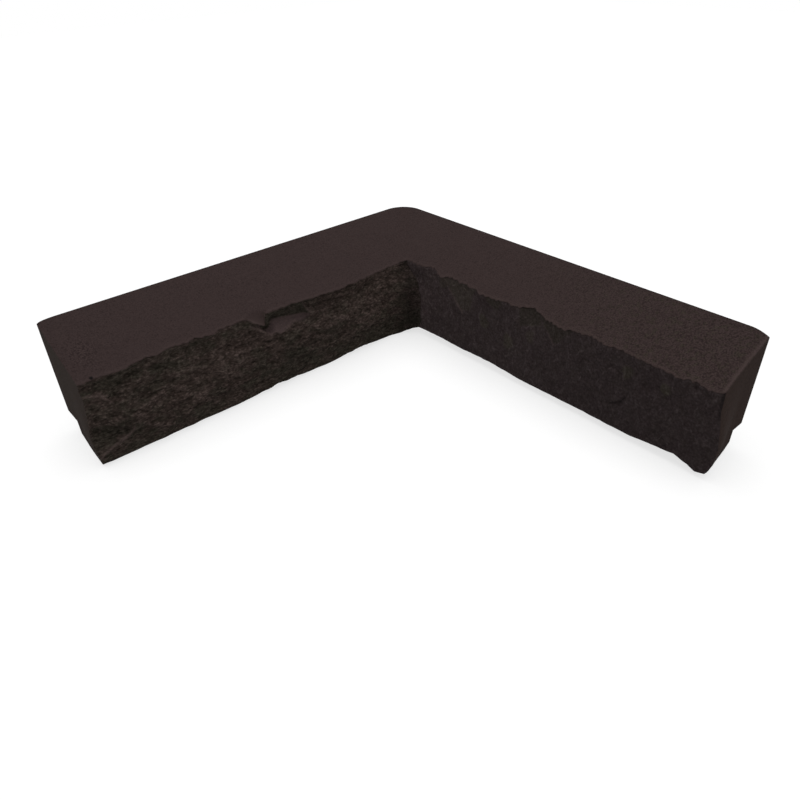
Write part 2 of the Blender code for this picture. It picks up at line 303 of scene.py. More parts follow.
def left_front(along, height, down, from_end):
    """How far the left front stands out of its plane, and how olive, pale and shaded it is: a belly, flakes,
    the band under the arris, crests and hollows at the end, and a swell by the inside corner. The olive is
    partly painted shade, the pale lines are wear and painted highlight, and the shade is painted light and
    shade, with the patches' own tone."""
    spots = np.stack((along, np.full(along.shape, -DEPTH["left"]), height), axis=-1)
    dip = 0.0095 * bell(along, 0.298, 0.016) + 0.0155 * eased((along - 0.325) / 0.027)
    crest = 0.0215 - dip + 0.0025 * grains(spots, 0.022, 17) * eased((0.262 - along) / 0.02)
    swing = (0.90 + 0.30 * grains(spots, 0.055, 11)) * (1.0 - 0.5 * eased(1.0 - from_end / 0.030))
    start = 0.060 + 0.003 * grains(spots, 0.014, 12)
    above = eased((start - height) / np.maximum(start - crest - 0.014, 0.010))
    below = 1.0 - 0.80 * held((crest - height) / np.maximum(crest, 0.004))
    belly = 0.0050 * swing * above * below
    thin = eased((0.258 - along) / 0.020) * eased((along - 0.170) / 0.010)
    ragged = (0.0105 - 0.0075 * thin) + 0.0045 * grains(spots, 0.010, 13) + 0.0030 * grains(spots, 0.004, 14)
    ragged = ragged + 0.0060 * bell(along, 0.328, 0.013)
    faded = np.maximum(0.5 * thin, 0.80 * eased((0.156 - along) / 0.014))
    in_band = eased(down / 0.003) * (1.0 - eased((down - ragged) / 0.0035)) * (1.0 - faded)
    flat = height - 0.18 * along
    large = 0.0018 * flakes(along + 0.3 * height, height, 0.022, 0.013, 21)
    middle = -0.0010 * flakes(along, flat, 0.0090, 0.0054, 31)
    small = 0.0006 * flakes(along, flat, 0.0040, 0.0028, 41)
    laid = np.stack((along, flat), axis=-1)
    strokes = 0.0004 * (1.0 - 2.5 * np.abs(grains(laid, (0.0060, 0.0028), 43)))
    grit = 0.00042 * grains(laid, (0.0021, 0.0016), 51)
    near_end = eased((along - 0.3315) / 0.0035)
    ridge = traced(along, UPPER_CREST) + 0.0008 * grains(spots, 0.006, 15)
    crest_line = traced(along, LOWER_CREST) + 0.0005 * grains(spots, 0.005, 16)
    upper_crest = 0.0020 * line_fade(height, ridge, 0.0022, 0.010) * near_end
    on_lower = eased((along - 0.262) / 0.008)
    lower_crest = 0.0018 * line_fade(height, crest_line, 0.006, 0.0022)
    hollow = bell(along, 0.335, 0.013) * bell(height, 0.0265, 0.0058)
    pit = bell(along, 0.3500, 0.0036) * bell(height - 0.4 * (along - 0.350), 0.0300, 0.0040)
    rough = large + middle + small + strokes + grit
    rough = eased(down / 0.004) * rough * eased(height / 0.005)
    at_ridge = bell(height, ridge, 0.0020) * near_end
    at_crest = bell(height, crest_line, 0.0030) * eased((along - 0.3215) / 0.002)
    calm = np.maximum(np.maximum(at_ridge, at_crest), bell(along, 0.343, 0.008) * bell(height, 0.0170, 0.006))
    near = square_fade(along - DEPTH["right"], 0.026)
    swell = 0.0140 * near * eased(0.10 + down / 0.021)
    out = belly - 0.0014 * in_band * (1.0 - 0.6 * near_end) + upper_crest + lower_crest * on_lower
    out += rough * (1.0 - 0.65 * calm) * (1.0 - 0.5 * near) + swell - 0.0026 * hollow - 0.0030 * pit
    broken = 0.62 + 0.38 * np.clip(1.7 * grains(spots, 0.006, 18), -1.0, 1.0)
    low = eased((0.034 - height) / 0.020) * eased((0.25 - along) / 0.05)
    # Olive and darker, partly as painted shade: in the band under the arris, below the belly's crest, and in
    # the hollow and pit at the end; also in the lower part, at a spot near the end and in the patches
    olive = np.maximum(0.75 * in_band, 0.5 * eased((crest - height) / 0.006)) * broken + 0.25 * low
    olive = np.maximum(olive, 0.75 * np.maximum(hollow, pit))
    olive = np.maximum(olive, 0.8 * bell(along, 0.319, 0.006) * bell(height, 0.012, 0.005))
    patchy = held(0.75 + 0.60 * grains(spots, 0.004, 20))
    # Pale lines along the two crests at the end: wear and painted highlight
    worn = bell(height, ridge + 0.0004, 0.0007) * near_end * patchy
    lower_worn = bell(height, crest_line + 0.0004, 0.0010) * eased((along - 0.3240) / 0.002)
    worn = np.maximum(worn, lower_worn)
    notch = (along > SCAR_WALL) * eased((NOTCH_END - 0.001 - along) / 0.004)
    under = down - NOTCH_FALL * held(1.0 - (along - SCAR_WALL) / (NOTCH_END - SCAR_WALL))
    # A pale line under the notch's lip, on its rounded nose: painted highlight
    worn = np.maximum(worn, 0.75 * bell(under, 0.0042, 0.0013) * notch)
    # Painted shade in the inside corner: a band along the meeting line that widens downwards
    corner_reach = 0.009 + 0.010 * held(down / 0.050)
    corner = eased(1.15 - (along - DEPTH["right"] - 0.003) / corner_reach)
    # Painted light and shade: paler towards the corner and along the foot, darker in the inside corner and
    # the hollow, and a painted shadow just under the notch's lip
    shade = 1.0 + 0.25 * eased((0.150 - along) / 0.06)
    shade *= 1.0 + 0.22 * eased((0.020 - height) / 0.02)
    shade *= (1.0 - 0.52 * corner) * (1.0 - 0.30 * hollow)
    shade *= 1.0 - 0.45 * bell(under, 0.0014, 0.0012) * notch
    wandering = along + 0.003 * grains(spots, 0.008, 19)
    for place, middle_height, reach, rise, tone, share in LEFT_PATCHES:
        patch = bell(wandering, place, reach) * bell(height, middle_height, rise)
        shade *= 1.0 + (tone - 1.0) * patch
        olive = olive + share * patch * (1.0 - in_band)
    return out, olive, worn, shade


def left_scar(along, down):
    """The scar where a flake left the left arris: an undercut strip that grows taller towards the corner,
    where its end leans, then a shelf that slopes out. Gives its depth, how much of the front it takes over,
    which of it is strip, and the line round its tip."""
    run = held((along - SCAR_CORNER_SIDE + 0.005) / (SCAR_WALL - SCAR_CORNER_SIDE + 0.005))
    past_tip = along - SCAR_CORNER_SIDE + 0.45 * down
    on = eased(past_tip / 0.0018) * eased((SCAR_END_SIDE - along) / 0.003)
    strip_tall = SCAR_STRIP + 0.0072 * (1.0 - run)
    strip_tall += 0.0080 * eased((along - SCAR_WALL + 0.0094) / 0.0066)
    strip = -0.0006 - 0.0034 * eased(down / strip_tall) * eased(past_tip / 0.006)
    fall = 0.0004 + 0.0106 * (1.0 - np.exp(-run / 0.25))
    slope = strip + (0.0104 * run + 0.0006) * held((down - strip_tall) / fall)
    foot = strip_tall + fall - 1.05 * np.maximum(along - 0.1950, 0.0) - 0.0042 * bell(along, 0.179, 0.008)
    taken = on * (1.0 - eased((down - foot) / 0.0020)) * eased(down / 0.0012)
    # The undercut strip, which is painted olive and darker as painted shade
    dark = 1.0 - eased((down - strip_tall + 0.0006) / 0.0012)
    dark *= 1.0 - eased((along - SCAR_WALL - 0.0018) / 0.0012)
    round_tip = bell(past_tip, 0.0, 0.0010) * eased((strip_tall - down + 0.001) / 0.002)
    round_tip = np.maximum(round_tip, 0.8 * on * bell(down, foot + 0.0006, 0.0009) * (run > 0.3))
    return slope, taken, dark, round_tip


def right_front(along, height, down, from_end):
    """How far the right front stands out of its plane, and how olive, pale and shaded it is: low rolls, small
    flakes that fade towards the foot, scars under the arris, olive flecks, and a thin lifted flake near the
    end. The pale rims are wear and painted highlight, and the shade is partly painted light and shade."""
    spots = np.stack((np.full(along.shape, -DEPTH["right"]), along, height), axis=-1)
    rolls = 0.0008 * grains(spots, 0.042, 61) + 0.0004 * grains(spots, 0.018, 62)
    large = 0.0007 * flakes(along + 0.2 * height, height, 0.021, 0.017, 63)
    middle = 0.0004 * flakes(along - 0.3 * height, height, 0.0070, 0.0056, 64)
    small = 0.0004 * flakes(along, height, 0.0034, 0.0030, 65)
    grit = 0.00024 * grains(spots, 0.0019, 66)
    lifted = eased((along - 0.282) / 0.004) * eased((0.3000 - along) / 0.004)
    under_flake = line_fade(height, traced(along, LIFTED_FLAKE), 0.0010, 0.0026) * lifted
    recess, olive, worn = np.zeros(along.shape), np.zeros(along.shape), np.zeros(along.shape)
    wander = 0.0010 * grains(spots, 0.005, 67) + 0.0008 * grains(spots, 0.002, 68)
    scar_tone = np.ones(along.shape)
    for start, stop, start_lean, stop_lean, tall, rise, depth, rim, tone in RIGHT_SCARS:
        past_start = along + wander - start - start_lean * down
        before_stop = stop + stop_lean * down - along + wander
        above_foot = tall - rise * (along - start) - down + wander
        inside = np.minimum(np.minimum(past_start, before_stop), above_foot)
        scar = eased(inside / 0.0020)
        recess = np.maximum(recess, depth * scar)
        olive = np.maximum(olive, scar)
        scar_tone += (tone - scar_tone) * scar
        # The pale rim along each scar's starting side: wear and painted highlight
        on_side = (before_stop > 0.0) * (above_foot > -0.001) * eased((down - 0.008) / 0.002)
        broken = held(0.65 + 0.60 * grains(spots, 0.005, 70))
        worn = np.maximum(worn, rim * bell(past_start, 0.0, 0.0008) * on_side * broken)
    for place, middle_height, reach, tall, share in RIGHT_FLECKS:
        fleck = bell(along + 1.6 * wander, place, reach) * bell(height + wander, middle_height, tall)
        fleck = eased((fleck - 0.25) / 0.35)
        olive = np.maximum(olive, share * fleck)
        scar_tone *= 1.0 + 0.25 * fleck
    flaked = large + middle + small + grit
    flaked *= 1.0 - 0.8 * np.minimum(olive, 1.0)
    flaked *= 0.3 + 0.7 * eased((height - 0.005) / 0.009)
    rough = eased(down / 0.003) * (rolls + flaked)
    # Painted light and shade: paler by the corner and darker towards the far end, a painted shadow under the
    # lifted flake, paler low and darker high by the corner, and darker along the end's upright edge; then
    # each scar's and fleck's own tone
    far = eased((along - 0.150) / 0.15)
    shade = 1.0 + 0.32 * eased((0.150 - along) / 0.08)
    shade *= 1.0 - 0.20 * far
    shade *= 1.0 - 0.4 * under_flake
    shade *= 1.0 + 0.30 * bell(along, 0.080, 0.010) * eased((0.060 - height) / 0.02)
    shade *= 1.0 - 0.16 * bell(along, 0.082, 0.018) * eased((height - 0.050) / 0.012)
    shade *= 1.0 - 0.5 * eased((0.0022 - from_end) / 0.0010) * eased((height - 0.048) / 0.006)
    shade *= scar_tone
    return rough - 0.0014 * under_flake - recess, 0.62 * olive, 0.8 * worn, shade


def end_flare(side, depth, height):
    """How far an end stands out past its plane: most at one height, tucked in at the right foot, and fading
    out towards the back."""
    (out, middle, reach), (inward, tuck_height) = FLARE[side], TUCK[side]
    flare = out * bell(height, middle, reach) - inward * square_fade(height, tuck_height)
    inner = REBATE[side] + 0.004
    return flare * eased((depth - inner) / (DEPTH[side] - inner))


def arm_front(side, from_corner, from_end, share):
    """One arm's front: its depth from the wall, its height above the floor, the heights of its two edges, how
    far the arris goes back, and its masks: proud, olive, wear and highlight, shade and shelf."""
    left = side == "left"
    depth, other = DEPTH[side], DEPTH["right" if left else "left"]
    along = from_corner + other
    line = np.stack((along, 0 * along), axis=-1)
    edge = chips(along, CHIPS[side])
    ragged = 0.0005 * grains(line, 0.0042, 71 + left)
    ragged += (0.0005 if left else 0.0009) * grains(line, 0.0019, 73 + left)
    edge += ragged
    edge *= eased(from_corner / 0.004)
    lip = LIP[side] + chips(along, LIP_HUMPS[side])
    lip += (0.0004 if left else 0.0002) * grains(line, 0.008, 75 + left)
    if left:
        lip += (LIP["right"] - LIP["left"]) * (1.0 - eased(from_corner / 0.014))
    lip = np.maximum(lip, 0.0004)
    arris = HEIGHT - TOP_DROP * (depth - edge) / depth - ARRIS_ROUND
    height = arris + (lip - arris) * share
    if left:
        place = (along - SCAR_WALL) / (NOTCH_END - SCAR_WALL)
        cut = np.where(place > 0.0, held(1.0 - place), eased(1.0 + 8.0 * place))
        height -= NOTCH_FALL * cut * held(1.0 - share / 0.30)
        arris = arris - NOTCH_FALL * cut
    down = HEIGHT - TOP_DROP - ARRIS_ROUND - height
    to_end = from_corner / (from_corner + from_end)
    meeting = 0.0 if left else 0.0030 + 0.0140 * eased(0.10 + down / 0.021)
    along = along + end_flare(side, depth, height) * to_end + meeting * (1.0 - to_end)
    if left:
        out, olive, worn, shade = left_front(along, height, down, from_end)
        scar, taken, strip, round_tip = left_scar(along, down)
        relief = 0.0004 * grains(np.stack((along, height), axis=-1), 0.004, 77)
        out = out * (1.0 - taken) + (scar + relief) * taken
        # The undercut strip painted olive and darker as painted shade, the shelf painted paler as painted
        # light against its shade, and a pale line round the shelf's tip as painted highlight
        olive = olive * (1.0 - taken) + 0.9 * strip * taken
        shade = shade * (1.0 - taken) + (1.38 - 0.50 * strip) * taken
        shelf = taken * (1.0 - strip)
        worn = np.maximum(worn * (1.0 - taken), 0.8 * round_tip)
    else:
        out, olive, worn, shade = right_front(along, height, down, from_end)
        shelf = np.zeros(out.shape)
    chip_length = 0.0025 + 3.0 * np.abs(edge)
    out -= edge * held(1.0 - share * (arris - lip) / chip_length)
    # The proud mask: crests are painted paler as painted highlight and hollows darker as painted shade
    proud = np.clip((out - smoothed(out, 4)) / 0.0010, -1.0, 1.0) * (1.0 - (shelf if left else 1.2 * olive))
    past = held(1.0 - (1.0 - share / ARRIS_SHARE) ** 2)
    turned = ARRIS_ROUND * (1.0 - np.sqrt(past)) * (share < ARRIS_SHARE)
    return depth + out - turned, height, arris, lip, edge, (proud, olive, worn, shade, shelf)


def top_masks(side, along, depth, from_end):
    """Masks of the top: how worn its end edge is, how strong its grain is, and how greenish."""
    left = side == "left"
    along, depth, from_end = np.broadcast_arrays(along, depth, from_end)
    grain = 0.75 + 0.15 * grains(np.stack((along, depth), axis=-1), 0.020, 81 + left)
    if left:
        plain = np.zeros(along.shape)
        return plain, grain + 1.4 * bell(along, 0.338, 0.008) * bell(depth, 0.037, 0.012), plain
    far = eased((along - 0.170) / 0.15)
    return 0.6 * bell(from_end, 0.0010, 0.0010), grain + 0.9 * far, far


def ledge_rows():
    """Every row round the section, from the rebate up the back, over the top, down the front and back under
    the foot: plan depth, height and masks on each arm's stations."""
    arms = {}
    for side, stations in STATIONS.items():
        left = side == "left"
        depth, rebate, rise = DEPTH[side], REBATE[side], RISE[side]
        other = DEPTH["right" if left else "left"]
        steps = np.linspace(0.0, 1.0, stations + 1)
        from_end = (steps * (LENGTH[side] - other))[None, :]
        from_corner = ((1.0 - steps) * (LENGTH[side] - other))[None, :]
        share = np.linspace(0.0, 1.0, FRONT_ROWS + 1)[:, None]
        front_depth, front_height, arris, lip, edge, masks = arm_front(
            side, from_corner + 0 * share, from_end + 0 * share, share + 0 * from_end
        )
        worn_end = END_WORN[side] * square_fade(from_end, END_WORN_REACH)
        top_share = 1.0 - np.linspace(1.0, 0.0, TOP_ROWS + 1)[:, None] ** 1.6
        reach = depth - edge[:1] - ARRIS_ROUND
        set_back = BACK_WORN[side] * square_fade(from_end, BACK_WORN_REACH)
        top_depth = set_back + BACK_EDGE_ROUND + (reach - set_back - BACK_EDGE_ROUND) * top_share
        worn_top = worn_end * (1.0 if left else 1.0 - 0.75 * top_share)
        top_height = HEIGHT - TOP_DROP * top_depth / depth - worn_top
        lowered = HEIGHT - TOP_DROP * (depth - edge[:1]) / depth - ARRIS_ROUND - arris[:1]
        spread = smoothed(np.broadcast_to(lowered, top_depth.shape), 5)
        near = held(1.0 - (reach - top_depth) / (0.0010 + 0.55 * spread)) ** 2.2
        inward = held((reach - top_depth) / 0.0020)
        top_height = top_height - (lowered + (spread - lowered) * inward) * near
        back_share = np.linspace(0.0, 1.0, BACK_ROWS + 1)[:, None]
        turn = np.linspace(np.pi / 2, 0.0, EDGE_STEPS + 1)[1:-1, None]
        flat = np.zeros((1, stations + 1))
        last = front_depth[-1:]
        chip = FOOT_CHIP[side] * square_fade(from_end, FOOT_CHIP_REACH)
        back_height = HEIGHT - BACK_EDGE_ROUND - worn_end
        arris_fall = worn_top[-1:]
        arris_height = arris[:1] + ARRIS_ROUND * np.sin(turn) - arris_fall
        rows = (
            ("back", set_back * back_share**3, rise + (back_height - rise) * back_share),
            (
                "back",
                set_back + BACK_EDGE_ROUND * (1.0 - np.cos(turn[::-1])),
                HEIGHT - BACK_EDGE_ROUND * (1.0 - np.sin(turn[::-1])) - worn_end,
            ),
            ("top", top_depth, top_height),
            ("arris", reach + ARRIS_ROUND * np.cos(turn), arris_height),
            ("front", front_depth, front_height - arris_fall * held(1.0 - share * 6)),
            ("foot", last - 0.0008, np.maximum(lip[:1] - 0.0006, 0.0)),
            ("foot", last - 0.0030, np.maximum(lip[:1] - 0.0010, 0.0) * 0.9),
            ("foot", np.minimum(depth * BEARING_SHARE + flat, last - 0.006), flat),
            ("foot", rebate + 0.015 + flat, flat),
            ("foot", rebate + 0.006 + flat, chip * 0.55),
            ("rebate", rebate + flat, chip),
            ("rebate", rebate + flat, rise + flat),
            ("rebate", rebate * 0.5 + flat, rise + flat),
        )
        kinds = sum(([kind] * len(deep) for kind, deep, _ in rows), [])
        pairs = [np.broadcast_arrays(deep, tall, flat)[:2] for _, deep, tall in rows]
        depths, heights = (np.concatenate(parts) for parts in zip(*pairs))
        shown = np.zeros((len(masks), *depths.shape)) + np.array(PLAIN_MASKS)[:, None, None]
        first, top = kinds.index("front"), kinds.index("top")
        shown[:, first : first + FRONT_ROWS + 1] = masks
        edge_worn, grain, greenish = top_masks(side, from_corner + other, top_depth, from_end)
        # A pale line along the arris: wear and painted highlight; on the notch's floor, painted light that
        # evens out the shading of its steep slope
        edge_worn = np.maximum(edge_worn, 0.3 * np.exp(-((reach - top_depth) / 0.0010)))
        edge_worn = np.maximum(edge_worn, near * held(lowered / 0.003))
        for name, values in (("worn", edge_worn), ("olive", greenish), ("shade", grain)):
            shown[MASKS.index(name), top : top + TOP_ROWS + 1] = values
        # The arris rows: a pale line of wear and painted highlight, full where the notch lowers the arris
        shown[MASKS.index("worn"), kinds.index("arris") : first + 1] = 0.3 + 0.7 * held(lowered / 0.003)
        arms[side] = (depths, heights, shown)
    return kinds, arms


def ledge_points():
    """Places of all rows and stations: each arm's stations run from its end to where its row meets the same
    row of the other arm, in an arc about the outer corner at the back and in a crease at the front."""
    kinds, arms = ledge_rows()
    left_depth, left_height, left_masks = arms["left"]
    right_depth, right_height, right_masks = arms["right"]
    meets_left, meets_right = left_depth[:, -1:], right_depth[:, -1:]
    radius = np.maximum(BACK_RADIUS - np.maximum(meets_left, meets_right), 0.0)
    runs = {}
    for side, meets in (("left", meets_right), ("right", meets_left)):
        steps = np.linspace(0.0, 1.0, STATIONS[side] + 1)
        ends = LENGTH[side] + end_flare(side, *(part[:, :1] for part in arms[side][:2]))
        runs[side] = -ends + steps * (ends - meets - radius)
    turn = np.linspace(0.0, np.pi / 2, BEND_STATIONS + 1)[1:-1]
    bend_x = -meets_right - radius * (1.0 - np.sin(turn))
    bend_y = -meets_left - radius * (1.0 - np.cos(turn))
    meeting = left_height[:, -1:] + (right_height[:, -1:] - left_height[:, -1:]) * turn / (np.pi / 2)
    x = np.concatenate((runs["left"], bend_x, -right_depth[:, ::-1]), axis=1)
    y = np.concatenate((-left_depth, bend_y, runs["right"][:, ::-1]), axis=1)
    z = np.concatenate((left_height, meeting, right_height[:, ::-1]), axis=1)
    creased = radius[:, 0] == 0.0
    highest = np.maximum(left_height[:, -1:], right_height[:, -1:])
    z[creased, STATIONS["left"] : -STATIONS["right"]] = highest[creased]
    bend_masks = np.repeat(left_masks[:, :, -1:], BEND_STATIONS - 1, axis=2)
    masks = np.concatenate((left_masks, bend_masks, right_masks[:, :, ::-1]), axis=2)
    return kinds, np.stack((x, y, z), axis=-1) + OUTER_CORNER, masks


def end_rings(side, rim):
    """Closes an end: rings of the rim drawn in towards its middle by rising shares, then moved out by the
    flare for their own depth and height."""
    along_axis = 0 if side == "left" else 1
    middle = rim.mean(axis=0)
    shares = np.linspace(0.0, 1.0, END_RINGS + 2)[1:, None, None] ** 1.1
    drawn = rim + (middle - rim) * shares
    depth = OUTER_CORNER[1 - along_axis] - drawn[..., 1 - along_axis]
    drawn[..., along_axis] = OUTER_CORNER[along_axis] - LENGTH[side] - end_flare(side, depth, drawn[..., 2])
    return drawn[:-1].reshape(-1, 3), drawn[-1, 0]


# The rise between stations at which the top counts as broken and the rows by the arris where it can, the
# distance under which points are merged, and the angle of a sharp edge
STEEP_RISE, STEEP_ROWS = 0.0011, 4
MERGED, SHARP_ANGLE = 2e-6, 52.0

kinds, surface, masks = ledge_points()
around, along = surface.shape[:2]
numbers = np.arange(around * along).reshape(around, along)
ring = np.concatenate((numbers, numbers[:1]))
quads = np.stack((ring[:-1, :-1], ring[1:, :-1], ring[1:, 1:], ring[:-1, 1:]), axis=-1).reshape(-1, 4)
face_kinds = np.repeat(np.array(kinds), along - 1)
is_left = np.tile(np.arange(along - 1) < STATIONS["left"] + BEND_STATIONS // 2, around)
rises = np.abs(np.diff(surface[..., 2], axis=1)) > STEEP_RISE
by_arris = (np.arange(around) >= kinds.index("arris") - STEEP_ROWS) & (np.array(kinds) == "top")
steep = (rises | np.roll(rises, -1, axis=0)) & by_arris[:, None]
broken = (face_kinds == "front") | steep.reshape(-1)
places, faces = [surface.reshape(-1, 3)], [quads]
finish = [np.where(broken, np.where(is_left, LEFT_PITCHED, RIGHT_PITCHED), SMOOTH_CAST)]
shown, fans, fan_finish = [masks.reshape(len(masks), -1)], [], []
start = around * along
for side, station, slot in (("left", 0, LEFT_END), ("right", along - 1, RIGHT_END)):
    rings, middle = end_rings(side, surface[:, station])
    ids = np.concatenate((numbers[:, station], start + np.arange(len(rings)))).reshape(END_RINGS + 1, around)
    wrapped = np.concatenate((ids, ids[:, :1]), axis=1)
    outer, inner = wrapped[:-1], wrapped[1:]
    faces.append(np.stack((outer[:, :-1], outer[:, 1:], inner[:, 1:], inner[:, :-1]), axis=-1).reshape(-1, 4))
    fans.append(np.stack((wrapped[-1, :-1], wrapped[-1, 1:], np.full(around, start + len(rings))), axis=-1))
    places += [rings, middle[None]]
    shown.append(np.repeat(np.array(PLAIN_MASKS)[:, None], len(rings) + 1, axis=1))
    finish.append(np.full(len(faces[-1]), slot))
    fan_finish.append(np.full(around, slot))
    start += len(rings) + 1

mesh = bpy.data.meshes.new("cast_ledge")
all_faces = np.concatenate(faces).tolist() + np.concatenate(fans).tolist()
mesh.from_pydata(np.concatenate(places).tolist(), [], all_faces)
mesh.polygons.foreach_set("material_index", np.concatenate(finish + fan_finish).astype(np.int32))
mesh.polygons.foreach_set("use_smooth", np.ones(len(mesh.polygons), bool))
for name, values in zip(MASKS, np.concatenate(shown, axis=1)):
    mesh.attributes.new(name, "FLOAT", "POINT").data.foreach_set("value", values.astype(np.float32))
shape = bmesh.new()
shape.from_mesh(mesh)
bmesh.ops.remove_doubles(shape, verts=shape.verts, dist=MERGED)
bmesh.ops.dissolve_degenerate(shape, edges=shape.edges, dist=MERGED)
bmesh.ops.recalc_face_normals(shape, faces=shape.faces)
shape.to_mesh(mesh)
shape.free()
mesh.set_sharp_from_angle(angle=np.radians(SHARP_ANGLE))

ledge = bpy.data.objects.new("cast_ledge", mesh)
scene.collection.objects.link(ledge)


def fill(tree, node, inputs):
    """Gives a node's inputs, by name or number, what goes into each: a number, a colour or a vector, or a
    socket to link it to. Gives back the node's outputs."""
    for label, value in inputs.items():
        socket = node.inputs[label]
        if isinstance(value, bpy.types.NodeSocket):
            tree.links.new(value, socket)
        else:
            socket.default_value = (*value, 1.0) if socket.type == "RGBA" else value
    return node.outputs


def new_group(name, inputs, outputs):
    """A shader node group with named sockets; gives the group, what enters it and the node it leaves by."""
    group = bpy.data.node_groups.new(name, "ShaderNodeTree")
    kinds = {"Place": "Vector"} | dict.fromkeys(("Colour", "Pale", "Warm", "Olive"), "Color")
    for direction, labels in (("INPUT", inputs), ("OUTPUT", outputs)):
        for label in labels:
            kind = "NodeSocket" + kinds.get(label, "Float")
            group.interface.new_socket(name=label, in_out=direction, socket_type=kind)
    return group, group.nodes.new("NodeGroupInput").outputs, group.nodes.new("NodeGroupOutput")


def placed(tree, group, values):
    """A group placed in a material with its own values; gives its outputs."""
    node = tree.nodes.new("ShaderNodeGroup")
    node.node_tree = group
    return fill(tree, node, values)


def math_node(tree, operation, *values):
    """A math node on sockets or plain numbers; gives its output."""
    node = tree.nodes.new("ShaderNodeMath")
    node.operation = operation
    return fill(tree, node, dict(enumerate(values)))[0]


def swung(tree, value, middle, share, base):
    """A base moved by a share of how far a value lies from its middle."""
    return math_node(tree, "MULTIPLY_ADD", math_node(tree, "SUBTRACT", value, middle), share, base)


def noise_node(tree, place, scale, detail, roughness=0.5):
    """A noise texture at a place; gives its value."""
    given = {"Vector": place, "Scale": scale, "Detail": detail, "Roughness": roughness}
    return fill(tree, tree.nodes.new("ShaderNodeTexNoise"), given)["Fac"]


def ranged(tree, value, start, stop):
    """The value drawn from 0 to 1 between two limits, held there."""
    given = {"Value": value, "From Min": start, "From Max": stop}
    return fill(tree, tree.nodes.new("ShaderNodeMapRange"), given)[0]


def blended(tree, share, under, over, kind="MIX"):
    """One colour blended over another by a share."""
    node = tree.nodes.new("ShaderNodeMix")
    node.data_type = "RGBA"
    node.blend_type = kind
    return fill(tree, node, {0: share, 6: under, 7: over})[2]


def stone_grain_group():
    """Fine grain of the mix. Its height is two sizes of noise less a share of the distance to the middle of
    the nearest grain. Its tone adds that height off its mean, light grains and pits, by their shares."""
    shares = ("Coarse share", "Height share", "Light share", "Pit share")
    group, entry, leave = new_group("stone_grain", ("Place", "Grains per metre", *shares), ("Height", "Tone"))
    place, scale = entry["Place"], entry["Grains per metre"]
    fine = noise_node(group, place, scale, 3.0, 0.62)
    coarse = noise_node(group, place, math_node(group, "MULTIPLY", scale, 0.3), 2.0)
    mixed = fill(group, group.nodes.new("ShaderNodeMix"), {0: entry["Coarse share"], 2: fine, 3: coarse})[0]
    rounds = {"Vector": place, "Scale": math_node(group, "MULTIPLY", scale, 0.9)}
    distance = fill(group, group.nodes.new("ShaderNodeTexVoronoi"), rounds)["Distance"]
    height = math_node(group, "MULTIPLY_ADD", distance, -0.35, mixed)
    mean_height = 0.34
    tone = swung(group, height, mean_height, entry["Height share"], 0.0)
    tone = math_node(group, "MULTIPLY_ADD", ranged(group, fine, 0.60, 0.74), entry["Light share"], tone)
    tone = math_node(group, "MULTIPLY_ADD", ranged(group, fine, 0.40, 0.27), entry["Pit share"], tone)
    fill(group, leave, {"Height": height, "Tone": tone})
    return group


def hair_crack_group():
    """Hair cracks: thin lines where a noise passes through its middle value, broken up by a second noise.
    Gives a mask."""
    group, entry, leave = new_group("hair_cracks", ("Place", "Cracks per metre", "Width"), ("Mask",))
    place, scale = entry["Place"], entry["Cracks per metre"]
    off_middle = math_node(group, "SUBTRACT", noise_node(group, place, scale, 2.0), 0.5)
    away = math_node(group, "DIVIDE", math_node(group, "ABSOLUTE", off_middle), entry["Width"])
    thin = math_node(group, "MAXIMUM", math_node(group, "SUBTRACT", 1.0, away), 0.0)
    breaks = noise_node(group, place, math_node(group, "MULTIPLY", scale, 2.3), 1.0)
    fill(group, leave, {"Mask": math_node(group, "MULTIPLY", thin, ranged(group, breaks, 0.46, 0.60))})
    return group


def mottling_group():
    """Mottling: a noise, and the patches of it, which rise from 0 to 1 between two limits."""
    limits = ("Patches start", "Patches full")
    group, entry, leave = new_group(
        "mottling", ("Place", "Patches per metre", "Detail", "Roughness", *limits), ("Value", "Patches")
    )
    value = noise_node(group, entry["Place"], entry["Patches per metre"], entry["Detail"], entry["Roughness"])
    patches = ranged(group, value, *(entry[limit] for limit in limits))
    fill(group, leave, {"Value": value, "Patches": patches})
    return group


def two_hue_group():
    """Two hues of one mix: the olive colour over the warm one, by a share of the patches and of the mask,
    held at 1."""
    given = ("Warm", "Olive", "Patches", "Patch share", "Mask")
    group, entry, leave = new_group("two_hues", given, ("Colour",))
    masked = math_node(group, "MULTIPLY", entry["Mask"], 0.85)
    share = math_node(group, "MULTIPLY_ADD", entry["Patches"], entry["Patch share"], masked)
    share = math_node(group, "MINIMUM", share, 1.0)
    fill(group, leave, {"Colour": blended(group, share, entry["Warm"], entry["Olive"])})
    return group


def worn_edge_group():
    """Worn edges, painted highlights and painted regional light and shade: a pale colour laid over the
    stone's own by the mask, where the wear and highlight are unbroken, then all of it times the shade."""
    given = ("Colour", "Pale", "Mask", "Unbroken", "Shade")
    group, entry, leave = new_group("worn_edges", given, ("Colour",))
    share = math_node(group, "MULTIPLY", entry["Mask"], entry["Unbroken"])
    worn = blended(group, share, entry["Colour"], entry["Pale"])
    shade = dict.fromkeys(range(3), entry["Shade"])
    grey = fill(group, group.nodes.new("ShaderNodeCombineColor"), shade)[0]
    fill(group, leave, {"Colour": blended(group, 1.0, worn, grey, "MULTIPLY")})
    return group


STONE_GRAIN = stone_grain_group()
HAIR_CRACKS = hair_crack_group()
MOTTLING = mottling_group()
TWO_HUES = two_hue_group()
WEAR_HIGHLIGHT_AND_SHADE = worn_edge_group()


